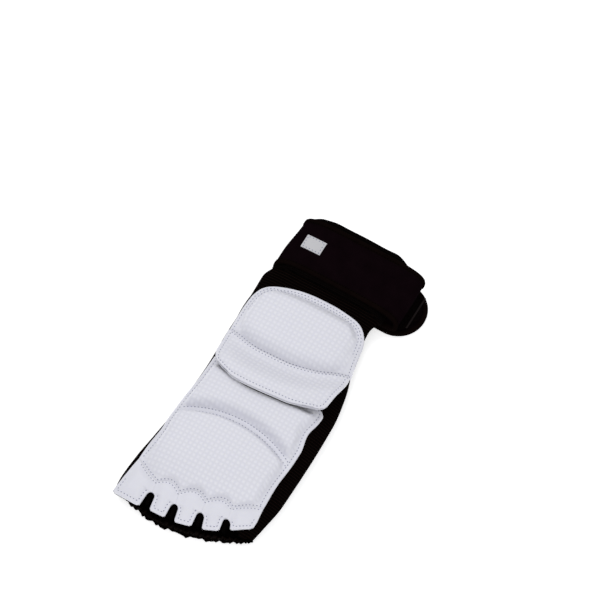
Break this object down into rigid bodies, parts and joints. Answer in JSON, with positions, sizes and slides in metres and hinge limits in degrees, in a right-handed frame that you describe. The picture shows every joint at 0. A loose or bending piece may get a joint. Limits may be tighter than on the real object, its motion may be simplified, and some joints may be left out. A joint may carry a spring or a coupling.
{
  "type": "martial arts foot guard",
  "caption": "Padded left foot guard for taekwondo: black knit sock with white padded covers, slotted toe row, loose instep flap and hook-and-loop ankle strap.",
  "frame": {"origin": "on the floor, on the flat underside of the sole, at the middle of the guard's length", "axes": "+Y from the toes to the ankle, +Z from the sole to the instep, -X towards the big toe (left foot)"},
  "size_m": [0.1294, 0.2822, 0.029],
  "materials": {
    "knit": "black ribbed elastic knit",
    "white_cover": "white synthetic leather, checker embossed on the pads",
    "foam": "grey closed-cell padding",
    "grip_patch": "dark grey shiny synthetic leather",
    "edge_tape": "black flat elastic tape",
    "strap": "purplish black brushed strap cloth",
    "strap_binding": "black folded binding",
    "cuff": "black elastic cuff",
    "hook_and_loop": "black hook-and-loop tape",
    "label": "light grey heat-pressed label"
  },
  "bodies": {
    "foot": {"instep_knit": "knit", "sole_knit_medial": "knit", "sole_knit_lateral": "knit", "sole_seam": "edge_tape", "ball_opening_tape_rear": "edge_tape", "heel_opening_tape_front": "edge_tape", "forefoot_cover": "white_cover", "forefoot_foam_front": "foam", "forefoot_foam_rear": "foam", "toe_cover_root": "white_cover", "instep_web": "white_cover", "side_patch": "grip_patch"},
    "toe_row": {"toe_cover_tabs": "white_cover", "toe_band": "knit", "ball_opening_tape_front": "edge_tape", "toe_divider_1": "edge_tape", "toe_divider_2": "edge_tape", "toe_divider_3": "edge_tape", "toe_divider_4": "edge_tape"},
    "flap": {"instep_flap": "white_cover", "instep_flap_lining": "white_cover"},
    "sleeve": {"sleeve_knit_front": "knit", "sleeve_knit_back": "knit", "heel_opening_tape_rear": "edge_tape", "instep_cover": "white_cover", "instep_foam": "foam", "ankle_patch": "grip_patch", "ankle_cuff": "cuff", "ankle_strap": "strap", "strap_binding_lower": "strap_binding", "strap_binding_upper": "strap_binding", "strap_loop_patch": "hook_and_loop", "strap_label": "label"},
    "strap_back": {"strap_back_run": "strap", "back_binding_lower": "strap_binding", "back_binding_upper": "strap_binding"},
    "strap_tab": {"strap_end_tab": "strap", "tab_binding": "strap_binding", "strap_hook_patch": "hook_and_loop"}
  },
  "joints": [
    {"name": "ankle_flex", "type": "hinge", "parent": "foot", "child": "sleeve", "pos_m": [0, 0.024, 0.0218], "axis": [1, 0, 0], "range_deg": [0, 75]},
    {"name": "flap_lift", "type": "hinge", "parent": "foot", "child": "flap", "pos_m": [0, 0.014, 0.0224], "axis": [-1, 0, 0], "range_deg": [0, 70]},
    {"name": "toe_flex", "type": "hinge", "parent": "foot", "child": "toe_row", "pos_m": [0, -0.1115, 0.0172], "axis": [-0.9929, -0.1191, 0], "range_deg": [-10, 40]},
    {"name": "strap_peel", "type": "hinge", "parent": "sleeve", "child": "strap_back", "pos_m": [-0.044, 0.1138, 0.0045], "axis": [0, 1, 0], "range_deg": [0, 170]},
    {"name": "strap_tab_bend", "type": "hinge", "parent": "strap_back", "child": "strap_tab", "pos_m": [0, 0.1085, 0], "axis": [0, 1, 0], "range_deg": [0, 60]}
  ]
}
